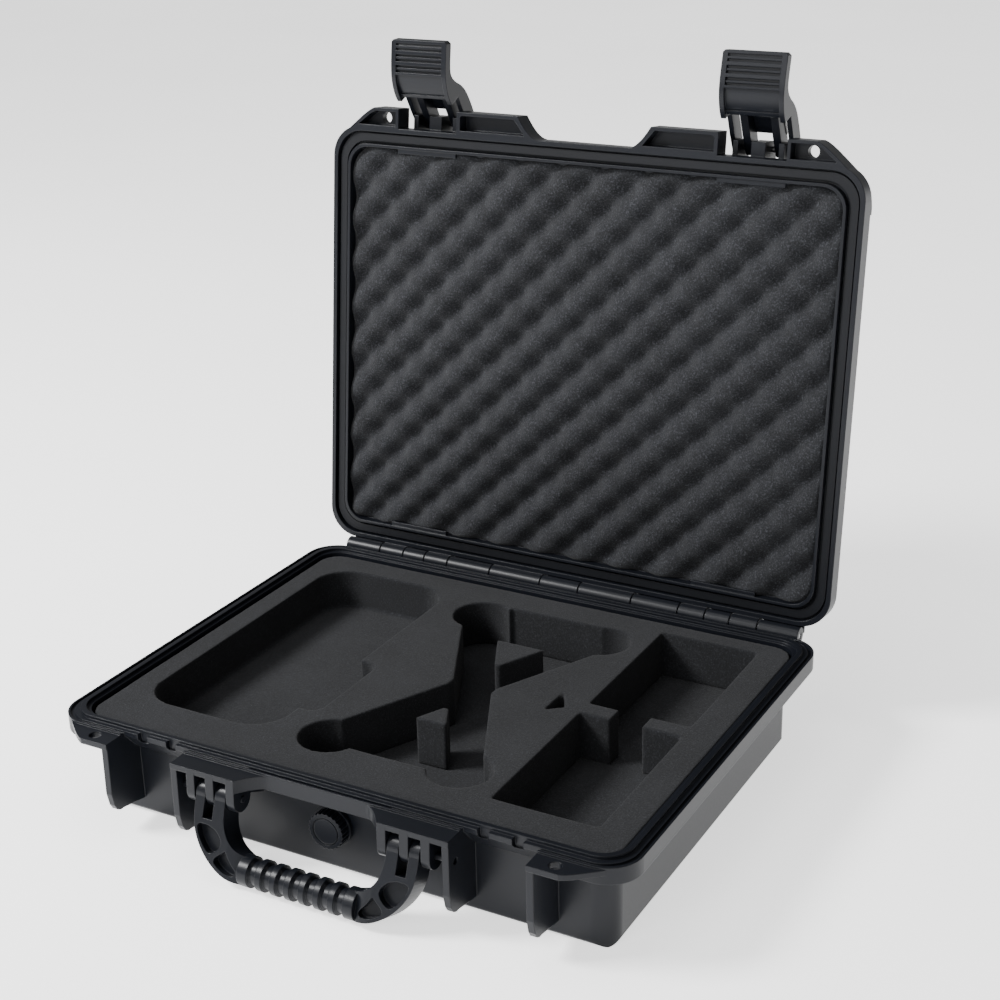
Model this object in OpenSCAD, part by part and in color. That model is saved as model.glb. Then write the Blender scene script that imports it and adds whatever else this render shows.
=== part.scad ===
// Hard carrying case for a small drone, its remote control and accessories.
// Origin: centre of the base's underside. +X is the owner's right, -Y is the front
// (latches and handle), +Z is up. The lid is drawn open, on its stop.

/* [Case] */
// Overall width of the rim flange
case_w = 363; // [330:1:400]
// Overall depth of the rim flange, without handle, lugs and hinge
case_d = 280.6; // [260:0.2:310]
// Height of the base, up to the top of its sealing tongue
base_h = 61.3; // [56:0.1:72]
// Height of the closed case
case_h = 109; // [104:1:125]
// Wall thickness of both shells
wall = 3; // [2.4:0.2:3.6]
// How far the lid stands open
lid_open = 96.4; // [0:0.1:96.4]

/* [Foam] */
// Depth of the pockets for accessories, below the top of the foam
pocket_deep = 29.5; // [20:0.5:40]
// Depth of the remote control's pocket, below the top of the foam
remote_deep = 26; // [20:0.5:34]

/* [Handle and latches] */
// How far the handle hangs out from vertical
handle_tilt = 20.4; // [0:0.1:60]
// Diameter of the grip
grip_dia = 17.6; // [14:0.2:18]
// Width of one latch
latch_w = 40; // [36:0.5:42]
// Distance of each latch's middle from the middle of the case
latch_x = 110.5; // [110:0.5:111]

/* [Hidden] */
$fn = 64;

// Small clearances
eps = 0.2;
pin_gap = 0.05;

// Rim: every ring is the flange outline moved inwards by an inset
half_w = case_w / 2;
half_d = case_d / 2;
flange_r = 20;
ring_in = 3;
moat_in = [1.2, 3.2];
tongue_in = 6.1;
tongue_back = 8.9;
land_back = 11.1;
seal_in = 4.2;
seal_back = 9.3;
lip_in = 11;
lip_back = 12.9;
lid_wall_in = 11.9;
base_wall_in = 15;
shoulder_z = base_h - 2.8;
flange_z = base_h - 2;
moat_z = flange_z - 1.8;
skirt_z = shoulder_z - 9;
ledge_z = skirt_z + 2.5;
parting_z = flange_z + 0.3;
lid_skirt_z = parting_z + 11.4;
seal_z = base_h + 0.4;
seal_h = 2.8;
edge_r = 5;
plastic = [0.13, 0.135, 0.145];
foam_grey = [0.27, 0.27, 0.28];
rubber = [0.08, 0.08, 0.085];
steel = [0.62, 0.63, 0.65];

// Front lugs, brackets and bars
front_y = -half_d - 12.6;
scoop_x = 31;
bracket_x = 45.4;
rib_x = [84, 132.3];
rib_w = 4;
plate_z = shoulder_z - 0.4;
plate_t = 3.3;
lug_hole = [145.6, -146.2];
lug_hole_r = 3.6;
bar_top = parting_z + 13.4;

// Hinge
hinge_y = half_d + 5.8;
hinge_z = base_h - 2.8;
barrel_r = 5.5;
hinge_pin_r = 2;
knuckle_x = [14, 51.9, 84.4, 102.6, 119.3, 137.8, 165];
knuckle_gap = 0.8;

// Handle
handle_y = -half_d - 5.4;
handle_z = 43.5;
handle_pin_r = 2;
lug_x = [45.4, 59, 71.8];
lug_w = 5.3;
grip_drop = 36.9;

// Latch, drawn about its own pivot
pivot_y = -half_d - 3.7;
pivot_z = base_h + 23;
latch_pin_r = 1.75;
strike_y = -half_d + 3.3;
latch_tilt = [3.5, -4.5];

// Pressure valve
valve_z = 29.3;
front_wall_y = -half_d + base_wall_in;

// Foam layers
foam_top_z = shoulder_z - 1;
foam_gap = 0.3;
drone = [15, 1];
motor = [42, 87];

function rim_radius(inset) = flange_r - inset / 2;

// ---- outlines ----

module rounded(hw, hd, r) {
    square([2 * (hw - r), 2 * hd], center = true);
    square([2 * hw, 2 * (hd - r)], center = true);
    for (sx = [-1, 1], sy = [-1, 1])
        translate([sx * (hw - r), sy * (hd - r)])
            circle(r);
}

module rim_plate(inset, z0, z1)
    translate([0, 0, z0])
        linear_extrude(z1 - z0)
            rounded(half_w - inset, half_d - inset, rim_radius(inset));

// Tray with a rounded bottom edge
module tray(hw, hd, r, h, e)
    intersection() {
        translate([0, 0, -1])
            linear_extrude(h + 1)
                rounded(hw, hd, r);
        prism_x(-hw - 2, hw + 2)
            tray_outline(hd + 0.4, h + 2, e);
        rotate([0, 0, 90])
            prism_x(-hd - 2, hd + 2)
                tray_outline(hw + 0.4, h + 2, e);
    }

module tray_outline(half, h, e) {
    translate([-half, e])
        square([2 * half, h - e]);
    translate([e - half, 0])
        square([2 * (half - e), h]);
    for (s = [-1, 1])
        translate([s * (half - e), e])
            circle(e);
}

// Prism along X of an outline drawn in (Y, Z)
module prism_x(x0, x1)
    translate([x0, 0, 0])
        rotate([90, 0, 90])
            linear_extrude(x1 - x0)
                children();

module rod_x(x0, x1, r)
    translate([x0, 0, 0])
        rotate([0, 90, 0])
            cylinder(r = r, h = x1 - x0);

module both_sides()
    for (s = [0, 1])
        mirror([s, 0, 0])
            children();

// Step in the front outline from the scoop out to a bracket or bar
function step_curve(x0, x1, y0, y1) =
    [for (i = [0:10]) [x0 + (x1 - x0) * i / 10, y0 + (y1 - y0) * pow(i / 10, 1.75)]];

// Outline with its corners cut twice, so that it runs smoothly
function cut_corners(p) = concat([p[0]],
    [for (i = [0:len(p) - 2]) each [p[i] * 0.75 + p[i + 1] * 0.25, p[i] * 0.25 + p[i + 1] * 0.75]],
    [p[len(p) - 1]]);

function smooth(p) = cut_corners(cut_corners(p));

module front_block(x_end, y_end, z0, z1)
    translate([0, 0, z0])
        linear_extrude(z1 - z0)
            polygon(concat([[scoop_x, -half_d + 2]],
                step_curve(scoop_x, bracket_x, -half_d, y_end),
                [[x_end, y_end], [x_end, -half_d + 2]]));

lug_edge = smooth([[lug_hole[0] + 1, front_y], [lug_hole[0] + 7, front_y], [170, -half_d + 2],
    [half_w - 2, -half_d + 11], [half_w, -half_d + 22], [half_w, -half_d + 28]]);

module corner_lug(z0, z1)
    translate([0, 0, z0])
        linear_extrude(z1 - z0)
            polygon(concat([[rib_x[1], -half_d + 4], [rib_x[1], front_y]], lug_edge,
                [[half_w - 6, -half_d + 28], [half_w - 20, -half_d + 12]]));

// ---- hinge ----

module barrels(first) {
    starts = [for (i = [first:2:6]) i];
    for (i = starts)
        both_sides()
            if (i == 0)
                rod_x(0, knuckle_x[0] - knuckle_gap / 2, barrel_r);
            else
                rod_x(knuckle_x[i - 1] + knuckle_gap / 2, knuckle_x[i] - knuckle_gap / 2, barrel_r);
}

module hinge_webs(first, z0, z1) {
    for (i = [first:2:6])
        both_sides()
            translate([i == 0 ? 0 : knuckle_x[i - 1] + knuckle_gap / 2, -8, z0])
                cube([i == 0 ? knuckle_x[0] - knuckle_gap / 2
                    : knuckle_x[i] - knuckle_x[i - 1] - knuckle_gap, 8, z1 - z0]);
}

// ---- base shell ----

module base_skirt()
    difference() {
        rim_plate(0, skirt_z, flange_z);
        difference() {
            rim_plate(2.6, skirt_z - 1, skirt_z + 6);
            rim_plate(5.4, skirt_z - 2, skirt_z + 7);
        }
        difference() {
            rim_plate(moat_in[0], moat_z, base_h);
            rim_plate(moat_in[1], moat_z - 1, base_h + 1);
        }
    }

module handle_lug_outline() {
    translate([handle_y, handle_z])
        circle(7.5);
    polygon([[handle_y - 7.5, handle_z], [front_y + 0.4, plate_z - 1], [front_wall_y + 1, plate_z - 1],
        [front_wall_y + 1, handle_z - 6], [handle_y + 7.5, handle_z]]);
}

module rib_outline()
    polygon([[front_wall_y + 1, plate_z - 1], [front_y + 0.6, plate_z - 1], [front_y + 0.2, 26],
        [front_y + 2, 18], [front_y + 4, 14.6], [front_y + 6.5, 13.4], [front_y + 9, 13.4],
        [front_wall_y + 1, 10]]);

// Hooking edge under which the latch's claw catches
module strike_outline()
    polygon([[front_wall_y + 1, shoulder_z - 0.1], [strike_y, shoulder_z - 0.1], [strike_y, shoulder_z - 2.3],
        [front_wall_y - 1.8, shoulder_z - 13.5], [front_wall_y + 1, shoulder_z - 13.5]]);

module base_front() {
    both_sides() {
        front_block(bracket_x + lug_w, front_y + 0.4, skirt_z + 0.5, plate_z);
        translate([bracket_x, front_y + 0.4, plate_z - plate_t])
            cube([rib_x[0] + rib_w - bracket_x, 20, plate_t]);
        corner_lug(plate_z - plate_t, plate_z);
        for (x = lug_x)
            prism_x(x, x + lug_w)
                handle_lug_outline();
        for (x = rib_x)
            prism_x(x, x + rib_w)
                rib_outline();
        prism_x(rib_x[0] + rib_w, rib_x[1])
            strike_outline();
    }
}

// Room for the knuckles of the handle as it swings
module handle_bay()
    both_sides()
        translate([0, handle_y, handle_z])
            rod_x(bracket_x + lug_w, lug_x[2], 8.2);

// Room for the latch between two ribs
module latch_bay()
    both_sides()
        prism_x(rib_x[0] + rib_w, rib_x[1])
            polygon([[-half_d - 3, skirt_z - 4], [-half_d - 3, base_h + 1], [strike_y, base_h + 1],
                [strike_y, shoulder_z - 2.3], [front_wall_y - 1.8, shoulder_z - 13.5]]);

module base_cuts() {
    rim_plate(base_wall_in + wall, wall, base_h + 1);
    rim_plate(land_back, ledge_z, base_h + 1);
    translate([0, hinge_y, hinge_z])
        rod_x(-half_w, half_w, hinge_pin_r + pin_gap);
    translate([0, front_wall_y - 2, valve_z])
        rotate([-90, 0, 0])
            cylinder(r = 8, h = wall + 4);
    both_sides() {
        translate([0, handle_y, handle_z])
            rod_x(bracket_x - 1, rib_x[0] + rib_w + 1, handle_pin_r + pin_gap);
        translate([lug_hole[0], lug_hole[1], plate_z - 8])
            cylinder(r = lug_hole_r, h = 12);
        for (x = [latch_x - 14.2, latch_x + 5.8])
            translate([x, strike_y - 1, shoulder_z - 4.6])
                cube([6.4, 4.2, 6]);
        translate([latch_x + 0.4, front_wall_y - 4, shoulder_z - 16])
            cube([1.6, 3.6, 3.4]);
    }
}

module base_shell()
    color(plastic)
        difference() {
            union() {
                difference() {
                    union() {
                        tray(half_w - base_wall_in, half_d - base_wall_in, rim_radius(base_wall_in),
                            skirt_z + 5, edge_r);
                        base_skirt();
                        difference() {
                            rim_plate(tongue_in, shoulder_z - 1, base_h);
                            rim_plate(tongue_back, shoulder_z - 2, base_h + 1);
                        }
                    }
                    latch_bay();
                    handle_bay();
                }
                base_front();
                translate([0, hinge_y, hinge_z]) {
                    barrels(0);
                    hinge_webs(0, -8, 0);
                }
            }
            base_cuts();
        }

module hinge_pin()
    color(steel)
        translate([0, hinge_y, hinge_z])
            rod_x(-knuckle_x[6] + 0.8, knuckle_x[6] - 0.8, hinge_pin_r);

// ---- base foam ----

module slot(a, b, w) {
    for (p = [a, b])
        translate(p)
            circle(d = w);
    d = b - a;
    translate(a)
        rotate(atan2(d[1], d[0]))
            translate([0, -w / 2])
                square([norm(d), w]);
}

module drone_outline()
    translate(drone) {
        for (sx = [-1, 1])
            slot([-sx * motor[0], -motor[1]], [sx * motor[0], motor[1]], 23);
        for (sx = [-1, 1], sy = [-1, 1])
            translate([sx * motor[0], sy * motor[1]])
                circle(d = 37);
        translate([-27, -motor[1] - 7])
            square([55, 46]);
        translate([-30, motor[1] - 27])
            square([64, 44]);
        translate([-14, -30])
            square([28, 60]);
    }

module remote_outline() {
    translate([-108, 6])
        rounded(46, 103, 22);
    translate([-70, -34])
        rounded(21, 33, 8);
}

module accessory_outline() {
    translate([86, -104])
        square([62.7, 104.3]);
    translate([86, 12.8])
        square([62.7, 102.2]);
    translate([105, -1])
        square([19.5, 15]);
}

module notch_outline()
    polygon([[66, -5.5], [75.2, 2.2], [66.6, 19]]);

// Room in the foam for the inner end of the valve
module valve_relief()
    translate([-13, front_wall_y + wall - 2, valve_z - 13])
        cube([26, 11.5, 26]);

module foam_pockets(z_remote, z_deep) {
    translate([0, 0, z_remote])
        linear_extrude(60)
            remote_outline();
    translate([0, 0, z_deep])
        linear_extrude(60) {
            drone_outline();
            accessory_outline();
            notch_outline();
        }
}

core_top = ledge_z;
core_bottom = foam_top_z - pocket_deep;

module base_foam_top()
    color(foam_grey)
        difference() {
            rim_plate(land_back + 1.5, ledge_z + foam_gap, foam_top_z);
            foam_pockets(0, 0);
        }

module base_foam_core()
    color(foam_grey * 0.95)
        difference() {
            rim_plate(base_wall_in + wall + foam_gap, core_bottom, core_top);
            foam_pockets(foam_top_z - remote_deep, 0);
            valve_relief();
        }

module base_foam_pad()
    color(foam_grey * 0.9)
        difference() {
            rim_plate(base_wall_in + wall + foam_gap, wall + eps, core_bottom - eps);
            valve_relief();
        }

// ---- pressure valve ----

module on_valve_axis(depth)
    translate([0, front_wall_y + depth, valve_z])
        rotate([90, 0, 0])
            children();

module valve_body()
    color(plastic)
        on_valve_axis(0)
            difference() {
                union() {
                    translate([0, 0, 0.8])
                        cylinder(r = 12, h = 2);
                    translate([0, 0, -9])
                        cylinder(r = 7.9, h = 10);
                }
                translate([0, 0, -10])
                    cylinder(r = 3.1, h = 14);
                translate([0, 0, -10])
                    cylinder(r = 5.2, h = 3);
            }

module valve_knob()
    color(plastic)
        on_valve_axis(0) {
            difference() {
                translate([0, 0, 3.1])
                    cylinder(r = 11, h = 5.8);
                for (i = [0:23])
                    rotate(i * 15)
                        translate([11.5, 0, 3])
                            cylinder(r = 1.1, h = 7, $fn = 16);
                translate([0, 0, 8.3])
                    difference() {
                        cylinder(r = 8.4, h = 2);
                        cylinder(r = 7.5, h = 3);
                    }
            }
            translate([0, 0, -6])
                cylinder(r = 3.04, h = 9.2);
        }

module valve_inner_seal()
    color(rubber)
        on_valve_axis(0)
            difference() {
                translate([0, 0, -9.4])
                    cylinder(r = 4.6, h = 2.2);
                translate([0, 0, -9.5])
                    cylinder(r = 1.4, h = 3);
            }

module valve_flange_seal()
    color(rubber)
        on_valve_axis(0)
            difference() {
                translate([0, 0, 0.05])
                    cylinder(r = 11.5, h = 0.7);
                translate([0, 0, -1])
                    cylinder(r = 8.1, h = 3);
            }

module valve_nut()
    color(plastic)
        on_valve_axis(0)
            difference() {
                translate([0, 0, -wall - 3.2])
                    cylinder(r = 11, h = 3, $fn = 6);
                translate([0, 0, -wall - 4])
                    cylinder(r = 7.95, h = 5);
            }

// ---- handle ----

module grip()
    difference() {
        translate([0, 0, -grip_drop])
            rod_x(-37, 37, grip_dia / 2);
        for (i = [-3:3])
            translate([i * 9.3, 0, -grip_drop])
                for (ring = [[5.6, 0.8], [4.6, 1.5], [3.4, 2]])
                    difference() {
                        rod_x(-ring[0] / 2, ring[0] / 2, grip_dia / 2 + 1);
                        rod_x(-4, 4, grip_dia / 2 - ring[1]);
                    }
    }

module arm_outline()
    polygon(concat(
        smooth([[51.3, 7], [51.3, -9], [50, -16.5], [46.5, -22.8], [41.5, -27], [36, -28.6], [32, -29]]),
        smooth([[32, -44.2], [40, -44.5], [49, -42.2], [58, -36.4], [65, -28.6], [69.4, -20], [70.8, -11],
            [70.8, 7]])));

// Thickness of the arm, thinner where it runs into the grip
module arm_plan()
    polygon(concat([[72, -7]], smooth([[46, -7], [40, -6.2], [36, -4.6], [32.4, -3]]),
        smooth([[32.4, 3], [36, 4.6], [40, 6.2], [46, 7]]), [[72, 7]]));

module arm()
    difference() {
        union() {
            intersection() {
                translate([0, 8, 0])
                    rotate([90, 0, 0])
                        linear_extrude(16)
                            arm_outline();
                translate([0, 0, -50])
                    linear_extrude(50)
                        arm_plan();
            }
            rod_x(51.3, 70.8, 7.4);
        }
        translate([58.4, -12, -14])
            cube([6.3, 24, 26]);
        translate([0, -2.4, 0])
            rotate([90, 0, 0])
                linear_extrude(8) {
                    polygon(smooth([[60, -17], [67.6, -17], [66.8, -22], [62.6, -28.4], [57, -33.4], [49, -26],
                        [54, -19], [60, -17]]));
                    polygon(smooth([[47, -28.6], [55.4, -35], [50, -39.4], [41.6, -41.8], [38.6, -38.8],
                        [43, -34.6], [47, -28.6]]));
                }
    }

module handle()
    color(plastic)
        translate([0, handle_y, handle_z])
            rotate([-handle_tilt, 0, 0])
                difference() {
                    union() {
                        grip();
                        both_sides()
                            arm();
                    }
                    rod_x(-80, 80, handle_pin_r + pin_gap);
                }

module handle_pin()
    color(plastic)
        translate([0, handle_y, handle_z]) {
            rod_x(bracket_x - 0.8, rib_x[0] + 2.6, handle_pin_r);
        }

module handle_pin_left()
    mirror([1, 0, 0])
        handle_pin();

module handle_pin_right()
    handle_pin();

// ---- lid, drawn closed and then swung open ----

module swung()
    translate([0, hinge_y, hinge_z])
        rotate([-lid_open, 0, 0])
            translate([0, -hinge_y, -hinge_z])
                children();

latch_lug_x = [-4.5, 12.8, -16.2];
latch_lug_w = [9, 3.4, 3.4];

module latch_lug_outline() {
    translate([pivot_y, pivot_z])
        circle(5);
    polygon([[pivot_y - 5, pivot_z], [pivot_y - 5, lid_skirt_z - 1], [-half_d + 13, lid_skirt_z - 1],
        [-half_d + 13, pivot_z + 7], [pivot_y + 3, pivot_z + 4]]);
}

module lid_front() {
    both_sides() {
        front_block(latch_x - 21.5, front_y - 1, parting_z, bar_top);
        corner_lug(parting_z, bar_top);
        for (i = [0:2])
            prism_x(latch_x + latch_lug_x[i], latch_x + latch_lug_x[i] + latch_lug_w[i])
                latch_lug_outline();
        for (s = [-1, 1])
            translate([latch_x - 21, s > 0 ? half_d - 16.6 : -half_d + 12.2, parting_z + 0.5])
                cube([43, 4.4, 2]);
    }
}

module lid_cuts() {
    rim_plate(lid_wall_in + wall - 0.2, parting_z + 4, case_h - wall);
    rim_plate(lip_back, parting_z - 1, parting_z + 7);
    difference() {
        rim_plate(ring_in, parting_z - 1, seal_z + seal_h + 0.1);
        rim_plate(lip_in, parting_z - 2, seal_z + seal_h + 1);
    }
    translate([0, hinge_y, hinge_z])
        rod_x(-half_w, half_w, hinge_pin_r + pin_gap);
    both_sides() {
        translate([0, 0, parting_z - 1])
            linear_extrude(9.4)
                polygon([[bracket_x - 5.2, -half_d - 2], [bracket_x - 0.6, front_y + 5],
                    [bracket_x + 2.6, front_y + 1.2], [latch_x - 25, front_y + 1.2],
                    [latch_x - 24, front_y + 2.2], [latch_x - 24, -half_d - 2]]);
        translate([lug_hole[0], lug_hole[1], parting_z - 1])
            cylinder(r = lug_hole_r, h = 20);
        translate([0, 0, parting_z - 1])
            linear_extrude(9)
                polygon([[rib_x[1] + 2, -half_d - 1.4], [rib_x[1] + 2, front_y + 2], [149.6, front_y + 2],
                    [154, front_y + 4.4], [162.6, -half_d - 1.4]]);
        translate([0, pivot_y, pivot_z])
            rod_x(latch_x - 18, latch_x + 18, latch_pin_r + pin_gap);
    }
}

module lid_lip()
    difference() {
        rim_plate(lip_in, parting_z + 0.5, parting_z + 8);
        rim_plate(lip_back, parting_z - 1, parting_z + 9);
    }

module lid_ribs()
    for (x = [-120:40:120])
        translate([x, 0, case_h - 0.5])
            linear_extrude(2)
                rounded(6, half_d - 34, 5.9);

module lid_closed() {
    difference() {
        union() {
            rim_plate(0, parting_z, lid_skirt_z);
            translate([0, 0, case_h])
                mirror([0, 0, 1])
                    tray(half_w - lid_wall_in, half_d - lid_wall_in, rim_radius(lid_wall_in),
                        case_h - lid_skirt_z + 2, edge_r + 1);
            lid_front();
            translate([0, hinge_y, hinge_z]) {
                barrels(1);
                hinge_webs(1, parting_z - hinge_z, 8);
                hinge_webs(0, barrel_r + 0.4, 8);
            }
            lid_ribs();
        }
        lid_cuts();
    }
    lid_tabs();
}

// Thicker stretches of the inner lip, beside the latches and on the hinge side
module lid_tabs()
    both_sides()
        for (s = [-1, 1])
            translate([latch_x - 21, s > 0 ? half_d - 15.6 : -half_d + 12.4, parting_z + 0.7])
                cube([43, 3.2, 1.9]);

module lid_shell()
    color(plastic)
        swung()
            lid_closed();

module lid_gasket()
    color(rubber)
        swung()
            difference() {
                rim_plate(seal_in, seal_z, seal_z + seal_h);
                rim_plate(seal_back, seal_z - 1, seal_z + seal_h + 1);
            }

module lid_foam()
    color(foam_grey * 1.1)
        swung()
            rim_plate(lid_wall_in + wall, parting_z + 3.2, case_h - wall - eps);

// ---- latches, drawn about the pivot in the lid's frame ----

back_edge = [[-55.5, -28.6], [-54, -28], [-38, -29.5], [-33, -27.5], [-29.5, -22], [-27.5, -16],
    [-23, -9.5], [-16, -4], [-9, 0.5], [-3, 4]];
claw_edge = [[-15.9, -27.5], [-20, -31], [-27, -34], [-34, -35.3], [-46, -34.8], [-55, -33.8]];

back_curve = smooth(back_edge);
claw_curve = smooth(claw_edge);

module cheek_outline() {
    circle(5);
    polygon(concat(back_curve, [[3.4, -3.4], [-6.6, -10.8], [-20, -19.5]], claw_curve));
}

module leg_outline() {
    circle(4.6);
    polygon(concat([for (p = back_curve) if (p[0] > -30) p],
        [[3.2, -3.2], [-6.6, -10.6], [-20, -19.5], [-22, -29], [-28, -31.5]]));
}

module panel_outline()
    polygon(concat([for (p = back_curve) if (p[0] < -33) p], [for (p = claw_curve) if (p[0] < -33) p]));

// Panel below the finger grooves, set back between the cheeks
module claw_outline()
    polygon(smooth([[-36, -33.6], [-31.5, -33.2], [-26.5, -31.6], [-21.4, -28.6], [-18, -25.6], [-19.8, -23],
        [-23.2, -25.9], [-28, -28.5], [-33, -29.8], [-36, -30]]));

// Web between the legs, along the back
module web_outline()
    polygon(concat([for (p = back_curve) if (p[0] > -31 && p[0] < -9.4) p],
        [[-9.3, -1.6], [-15.2, -6.9], [-20.6, -12.8], [-24.4, -18.6], [-27, -25], [-30.6, -29]]));

// Finger groove with a low bar along its middle
module finger_groove()
    difference() {
        translate([3.4 - latch_w / 2, 0, -37])
            cube([latch_w - 6.8, 4.6, 4.2]);
        translate([-latch_w, 1.6, -34.4])
            cube([2 * latch_w, 1.4, 3]);
    }

module latch(x, tilt)
    color(plastic)
        swung()
            translate([x, pivot_y, pivot_z])
                rotate([tilt, 0, 0])
                difference() {
                    union() {
                        for (s = [-1, 1]) {
                            prism_x(s > 0 ? latch_w / 2 - 3 : -latch_w / 2,
                                s > 0 ? latch_w / 2 : 3 - latch_w / 2)
                                cheek_outline();
                            prism_x(s * 9.5 - 2.4, s * 9.5 + 2.4)
                                leg_outline();
                        }
                        prism_x(1 - latch_w / 2, latch_w / 2 - 1)
                            panel_outline();
                        prism_x(1 - latch_w / 2, latch_w / 2 - 1)
                            claw_outline();
                        prism_x(1 - latch_w / 2, latch_w / 2 - 1)
                            polygon([[-20.8, -29], [-18.8, -27.5], [-20.4, -19.8], [-22.2, -20.2]]);
                        prism_x(-12.3, 12.3)
                            web_outline();
                    }
                    for (i = [0:2])
                        translate([0, -53.1 + i * 6.8, 0])
                            finger_groove();
                    for (s = [-1, 1])
                        translate([s * latch_w / 2, -55.6, -30])
                            rotate([0, 0, 45])
                                cube([2.6, 2.6, 20], center = true);
                    rod_x(-30, 30, latch_pin_r + pin_gap);
                }

module latch_left()
    latch(-latch_x, latch_tilt[0]);

module latch_right()
    latch(latch_x, latch_tilt[1]);

module latch_pin(x)
    color(steel)
        swung()
            translate([x, pivot_y, pivot_z])
                rod_x(0.6 - latch_w / 2, latch_w / 2 - 0.6, latch_pin_r);

module latch_pin_left()
    latch_pin(-latch_x);

module latch_pin_right()
    latch_pin(latch_x);

base_shell();
base_foam_top();
base_foam_core();
base_foam_pad();
hinge_pin();
valve_body();
valve_knob();
valve_inner_seal();
valve_flange_seal();
valve_nut();
handle();
handle_pin_left();
handle_pin_right();
lid_shell();
lid_gasket();
lid_foam();
latch_left();
latch_right();
latch_pin_left();
latch_pin_right();
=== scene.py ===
import math

import bmesh
import bpy
from mathutils import Matrix, Vector


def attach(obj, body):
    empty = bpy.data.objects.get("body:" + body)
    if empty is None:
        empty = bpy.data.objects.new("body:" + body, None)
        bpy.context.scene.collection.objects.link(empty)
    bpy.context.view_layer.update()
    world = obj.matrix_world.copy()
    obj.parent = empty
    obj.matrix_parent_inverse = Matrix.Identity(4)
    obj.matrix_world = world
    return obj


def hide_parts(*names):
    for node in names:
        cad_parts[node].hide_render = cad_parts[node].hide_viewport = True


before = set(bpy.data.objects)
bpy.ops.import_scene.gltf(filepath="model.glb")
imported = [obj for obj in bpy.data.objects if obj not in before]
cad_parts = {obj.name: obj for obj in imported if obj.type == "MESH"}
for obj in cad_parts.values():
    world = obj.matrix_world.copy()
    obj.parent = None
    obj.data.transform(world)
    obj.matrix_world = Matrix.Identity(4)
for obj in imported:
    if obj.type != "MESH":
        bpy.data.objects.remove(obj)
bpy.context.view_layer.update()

# Rest position of the lid: turned back about the hinge
HINGE = Vector((0, 0.1461, 0.0585))
LID_OPEN = math.radians(-96.4)
SWUNG = Matrix.Translation(HINGE) @ Matrix.Rotation(LID_OPEN, 4, "X") @ Matrix.Translation(-HINGE)


# ---- materials ----

def new_material(name):
    mat = bpy.data.materials.new(name)
    mat.use_nodes = True
    tree = mat.node_tree
    bsdf = next(n for n in tree.nodes if n.type == "BSDF_PRINCIPLED")
    coords = tree.nodes.new("ShaderNodeTexCoord")
    return mat, tree, bsdf, coords.outputs["Object"]


def noise(tree, vector, scale, detail=2.0, rough=0.5):
    node = tree.nodes.new("ShaderNodeTexNoise")
    node.inputs["Scale"].default_value = scale
    node.inputs["Detail"].default_value = detail
    node.inputs["Roughness"].default_value = rough
    tree.links.new(vector, node.inputs["Vector"])
    return node.outputs["Fac"]


def ramp(tree, value, stops):
    node = tree.nodes.new("ShaderNodeValToRGB")
    elements = node.color_ramp.elements
    for element, (place, colour) in zip(elements, stops[:2]):
        element.position = place
        element.color = (*colour, 1)
    for place, colour in stops[2:]:
        elements.new(place).color = (*colour, 1)
    tree.links.new(value, node.inputs["Fac"])
    return node.outputs["Color"]


def spread(tree, value, low, high):
    node = tree.nodes.new("ShaderNodeMapRange")
    node.inputs["To Min"].default_value = low
    node.inputs["To Max"].default_value = high
    tree.links.new(value, node.inputs["Value"])
    return node.outputs["Result"]


def mix(tree, factor, a, b):
    node = tree.nodes.new("ShaderNodeMix")
    node.data_type = "RGBA"
    node.inputs["Factor"].default_value = factor
    tree.links.new(a, node.inputs["A"])
    tree.links.new(b, node.inputs["B"])
    return node.outputs["Result"]


def bump(tree, bsdf, height, strength, distance, edge=0.0):
    node = tree.nodes.new("ShaderNodeBump")
    node.inputs["Strength"].default_value = strength
    node.inputs["Distance"].default_value = distance
    tree.links.new(height, node.inputs["Height"])
    if edge:
        soft = tree.nodes.new("ShaderNodeBevel")
        soft.samples = 6
        soft.inputs["Radius"].default_value = edge
        tree.links.new(soft.outputs["Normal"], node.inputs["Normal"])
    tree.links.new(node.outputs["Normal"], bsdf.inputs["Normal"])


def grey(level, tint=0.0):
    """A grey that leans towards blue as the tint grows."""
    return (level, level * (1 + tint * 0.25), level * (1 + tint))


def plastic(name, level, rough, grain, depth, edge):
    """Moulded plastic or rubber: a faint cloud, a fine grain of a given scale and depth, and softened edges."""
    mat, tree, bsdf, at = new_material(name)
    cloud = noise(tree, at, 22, 3)
    speck = noise(tree, at, grain, 2)
    tone = ramp(tree, cloud, [(0.3, grey(level * 0.86, 0.6)), (0.7, grey(level * 1.16, 0.7))])
    fine = ramp(tree, speck, [(0.3, grey(level * 0.8, 0.6)), (0.7, grey(level * 1.25, 0.6))])
    tree.links.new(mix(tree, 0.35, tone, fine), bsdf.inputs["Base Color"])
    tree.links.new(spread(tree, speck, rough - 0.06, rough + 0.08), bsdf.inputs["Roughness"])
    bsdf.inputs["Specular IOR Level"].default_value = 0.2
    bump(tree, bsdf, speck, 0.35, depth, edge)
    return mat


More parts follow.
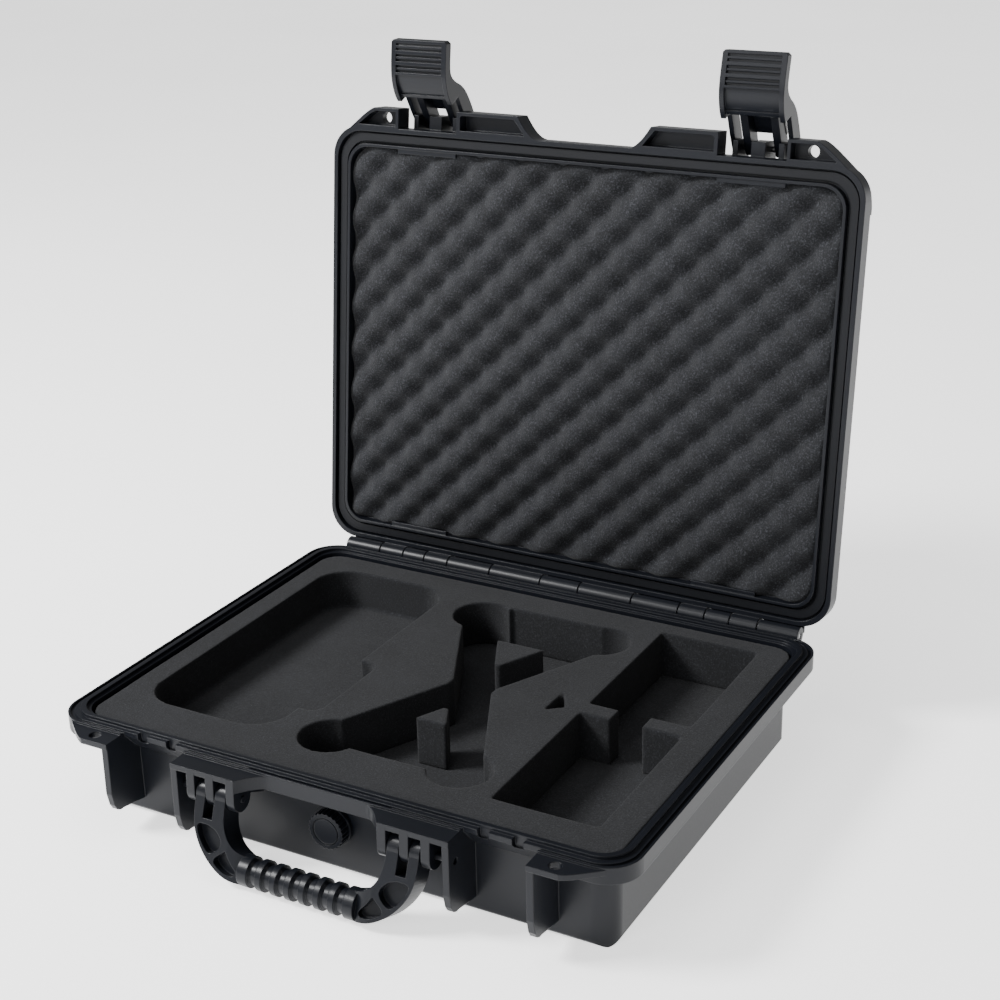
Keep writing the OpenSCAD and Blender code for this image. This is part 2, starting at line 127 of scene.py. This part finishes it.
def foam(name, level, cell, depth, painted_speck_highlight):
    """Matt foam: soft blotches, open cells in the bump, and painted highlights on the cell rims, put into the
    colour as light specks.
    """
    mat, tree, bsdf, at = new_material(name)
    cloud = noise(tree, at, 24, 5, 0.65)
    nap = noise(tree, at, cell, 3, 0.7)
    tone = ramp(tree, cloud, [(0.35, grey(level * 0.6, 0.22)), (0.65, grey(level * 1.45, 0.22))])
    # painted highlight: light specks on the open cells' rims, painted into the base colour
    painted_cell_highlights = ramp(tree, nap, [(0.40, grey(level * (1 - painted_speck_highlight), 0.22)),
                             (0.57, grey(level * (1 + painted_speck_highlight), 0.22)),
                             (0.66, grey(level * (1 + 7 * painted_speck_highlight), 0.22))])
    tree.links.new(mix(tree, 0.6, tone, painted_cell_highlights), bsdf.inputs["Base Color"])
    bsdf.inputs["Roughness"].default_value = 0.95
    bsdf.inputs["Specular IOR Level"].default_value = 0.2
    bsdf.inputs["Sheen Weight"].default_value = 0.05
    bsdf.inputs["Sheen Roughness"].default_value = 0.6
    bump(tree, bsdf, nap, 0.6, depth)
    return mat


def steel(name):
    mat, tree, bsdf, at = new_material(name)
    streak = noise(tree, at, 600, 2)
    tone = ramp(tree, streak, [(0.3, grey(0.36)), (0.7, grey(0.52, 0.03))])
    tree.links.new(tone, bsdf.inputs["Base Color"])
    tree.links.new(spread(tree, streak, 0.25, 0.42), bsdf.inputs["Roughness"])
    bsdf.inputs["Metallic"].default_value = 1.0
    return mat


shell = plastic("shell_plastic", level=0.0056, rough=0.33, grain=1800, depth=0.00010, edge=0.0008)
fitting = plastic("fitting_plastic", level=0.0052, rough=0.31, grain=1800, depth=0.00008, edge=0.0007)
rubber = plastic("seal_rubber", level=0.0036, rough=0.50, grain=1100, depth=0.00006, edge=0.0006)
pin = steel("pin_steel")
base_foam = foam("cut_foam", level=0.0098, cell=1100, depth=0.0009, painted_speck_highlight=0.4)
crate_foam = foam("convoluted_foam", level=0.0125, cell=950, depth=0.0014, painted_speck_highlight=0.6)

for node, mat in {
    "base_shell": shell, "lid_shell": shell, "handle": fitting, "latch_left": fitting,
    "latch_right": fitting, "handle_pin_left": fitting, "handle_pin_right": fitting,
    "valve_body": fitting, "valve_knob": fitting, "valve_nut": fitting,
    "valve_flange_seal": rubber, "valve_inner_seal": rubber, "lid_gasket": rubber,
    "hinge_pin": pin, "latch_pin_left": pin, "latch_pin_right": pin,
    "base_foam_top": base_foam, "base_foam_core": base_foam, "base_foam_pad": base_foam,
    "lid_foam": crate_foam,
}.items():
    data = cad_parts[node].data
    data.materials.clear()
    data.materials.append(mat)


# ---- foam ----

def settle(obj, bm, mat, body, nodes):
    """Write the mesh, and put the piece on its body in place of its CAD nodes."""
    bm.to_mesh(obj.data)
    bm.free()
    obj.data.materials.clear()
    obj.data.materials.append(mat)
    for face in obj.data.polygons:
        face.use_smooth = True
    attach(obj, body)
    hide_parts(*nodes)


# Height above a block's underside that still counts as its underside
UNDERSIDE_BAND = 0.0008


def cut_foam(name, nodes, voxel, relax, waviness, sink=0.0):
    """One block of cut foam with softened edges and a slightly uneven skin, resting on what is below it."""
    bm = bmesh.new()
    for node in nodes:
        bm.from_mesh(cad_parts[node].data)
    bmesh.ops.remove_doubles(bm, verts=bm.verts, dist=1e-6)
    obj = bpy.data.objects.new(name, bpy.data.meshes.new(name))
    bpy.context.scene.collection.objects.link(obj)
    bm.to_mesh(obj.data)
    bm.free()
    remesh = obj.modifiers.new("remesh", "REMESH")
    remesh.mode = "VOXEL"
    remesh.voxel_size = voxel
    smooth = obj.modifiers.new("smooth", "SMOOTH")
    smooth.factor = 0.5
    smooth.iterations = relax
    graph = bpy.context.evaluated_depsgraph_get()
    skin = bpy.data.meshes.new_from_object(obj.evaluated_get(graph))
    obj.modifiers.clear()
    obj.data = skin
    bm = bmesh.new()
    bm.from_mesh(skin)
    lowest = min(v.co.z for v in bm.verts)
    for v in bm.verts:
        if v.co.z < lowest + UNDERSIDE_BAND:
            v.co.z -= sink
        x, y, z = v.co * 1000
        swell = math.sin(x / 17 + y / 29) + math.sin(y / 13 - z / 11) + math.sin((x - y) / 9)
        v.co += v.normal * waviness * swell / 3
    settle(obj, bm, base_foam, "base", nodes)


cut_foam("base_foam_block", ["base_foam_top", "base_foam_core"],
         voxel=0.0011, relax=1, waviness=0.00010, sink=0.0006)
cut_foam("base_foam_floor", ["base_foam_pad"], voxel=0.003, relax=1, waviness=0.00015)

# Convoluted foam: a sheet whose face is rows of rounded hills, cut straight at its edges,
# given where it lies with the lid shut
GRID_STEP = 0.0016
PITCH = 0.0293
ROW_X = 0.0015
ROW_Y = -0.0132
RIDGE = 0.76
SADDLE = 0.24
NARROWING = 1.6
UNEVEN = 0.05
HALF_X = 0.1672
HALF_Y = 0.1262
CORNER = 0.0125
PEAK_Z = 0.0612
RELIEF = 0.0068
EDGE_DIP = 0.0006
BULGE = 0.007
BACK_Z = 0.1056


def hill(x, y):
    """Depth below the foam's peaks, 0 on a ridge and about 1 in a valley."""
    across = 2 * math.pi * (x - ROW_X) / PITCH
    along = 2 * math.pi * (y - ROW_Y) / PITCH
    wave = RIDGE * math.cos(across + along) + SADDLE * math.cos(across - along)
    wobble = UNEVEN * math.sin(x * 61 + 1.3) * math.sin(y * 47)
    return (0.5 - 0.5 * wave) ** NARROWING + wobble


def round_corner(x, y):
    a = abs(x) - (HALF_X - CORNER)
    b = abs(y) - (HALF_Y - CORNER)
    if a <= 0 or b <= 0:
        return x, y
    share = max(a, b) / math.hypot(a, b)
    return (math.copysign(HALF_X - CORNER + a * share, x),
            math.copysign(HALF_Y - CORNER + b * share, y))


def convoluted_foam():
    nx, ny = round(2 * HALF_X / GRID_STEP), round(2 * HALF_Y / GRID_STEP)
    bm = bmesh.new()
    face_grid, back_grid = {}, {}
    for i in range(nx + 1):
        for j in range(ny + 1):
            x, y = round_corner(-HALF_X + 2 * HALF_X * i / nx, -HALF_Y + 2 * HALF_Y * j / ny)
            edge = min(1.0, min(i, nx - i, j, ny - j) / 2)
            z = PEAK_Z + RELIEF * hill(x, y) + EDGE_DIP * (1 - edge)
            bulge = 1 + BULGE * (1 - min(1, hill(x, y))) * (1 if edge == 0 else 0)
            face_grid[i, j] = bm.verts.new(SWUNG @ Vector((x * bulge, y * bulge, z)))
            if i in (0, nx) or j in (0, ny):
                back_grid[i, j] = bm.verts.new(SWUNG @ Vector((x, y, BACK_Z)))
    for i in range(nx):
        for j in range(ny):
            bm.faces.new([face_grid[i, j], face_grid[i, j + 1],
                          face_grid[i + 1, j + 1], face_grid[i + 1, j]])
    ring = ([(i, 0) for i in range(nx)] + [(nx, j) for j in range(ny)]
            + [(i, ny) for i in range(nx, 0, -1)] + [(0, j) for j in range(ny, 0, -1)])
    for p, q in zip(ring, ring[1:] + ring[:1]):
        bm.faces.new([face_grid[p], face_grid[q], back_grid[q], back_grid[p]])
    bm.faces.new([back_grid[p] for p in ring])
    bmesh.ops.recalc_face_normals(bm, faces=bm.faces)
    obj = bpy.data.objects.new("lid_foam_sheet", bpy.data.meshes.new("lid_foam_sheet"))
    bpy.context.scene.collection.objects.link(obj)
    settle(obj, bm, crate_foam, "lid", ["lid_foam"])


convoluted_foam()


# ---- floor, light and camera ----

FLOOR_HALF = 40
FLOOR_DROP = 0.0004
WORLD_STRENGTH = 0.32
CAMERA_AT = (0.5014, -0.8276, 0.5617)
CAMERA_LOOK = (-0.4538, 0.8090, -0.3735)
CAMERA_LENS = 66.05
CAMERA_SENSOR = 36
ROLL = math.radians(-1.33)


def floor_material():
    mat, tree, bsdf, at = new_material("studio_floor")
    tone = ramp(tree, noise(tree, at, 2.0, 2), [(0.3, grey(0.90)), (0.7, grey(0.93))])
    tree.links.new(tone, bsdf.inputs["Base Color"])
    tree.links.new(tone, bsdf.inputs["Emission Color"])
    bsdf.inputs["Emission Strength"].default_value = 1.5
    bsdf.inputs["Roughness"].default_value = 0.6
    bsdf.inputs["Specular IOR Level"].default_value = 0.1
    return mat


floor_mesh = bpy.data.meshes.new("floor")
corners = [(x * FLOOR_HALF, y * FLOOR_HALF, 0) for x, y in ((-1, -1), (1, -1), (1, 1), (-1, 1))]
floor_mesh.from_pydata(corners, [], [(0, 1, 2, 3)])
floor_mesh.materials.append(floor_material())
floor = bpy.data.objects.new("floor", floor_mesh)
floor.location.z = -FLOOR_DROP
bpy.context.scene.collection.objects.link(floor)

world = bpy.data.worlds.new("studio")
world.use_nodes = True
background = world.node_tree.nodes["Background"]
background.inputs["Color"].default_value = (1, 1, 1, 1)
background.inputs["Strength"].default_value = WORLD_STRENGTH
bpy.context.scene.world = world


def softbox(name, place, target, size, power):
    lamp = bpy.data.lights.new(name, "AREA")
    lamp.shape = "RECTANGLE"
    lamp.size, lamp.size_y = size
    lamp.energy = power
    obj = bpy.data.objects.new(name, lamp)
    obj.location = place
    obj.rotation_euler = (Vector(target) - Vector(place)).to_track_quat("-Z", "Y").to_euler()
    bpy.context.scene.collection.objects.link(obj)


softbox("key_light", place=(-1.3, -0.9, 1.5), target=(0, 0.05, 0.15), size=(0.6, 0.6), power=80)
softbox("front_light", place=(-0.2, -1.9, 1.0), target=(0, 0, 0.1), size=(1.2, 0.8), power=16)
softbox("top_light", place=(-0.2, 0.1, 1.8), target=(0, 0, 0.1), size=(1.0, 0.8), power=8)

forward = Vector(CAMERA_LOOK).normalized()
level_right = forward.cross(Vector((0, 0, 1))).normalized()
level_up = level_right.cross(forward)
right = level_right * math.cos(ROLL) + level_up * math.sin(ROLL)
up = right.cross(forward)
camera = bpy.data.objects.new("camera", bpy.data.cameras.new("camera"))
camera.data.lens = CAMERA_LENS
camera.data.sensor_width = CAMERA_SENSOR
turn = Matrix((right, up, -forward)).transposed().to_4x4()
camera.matrix_world = Matrix.Translation(CAMERA_AT) @ turn
bpy.context.scene.collection.objects.link(camera)
bpy.context.scene.camera = camera
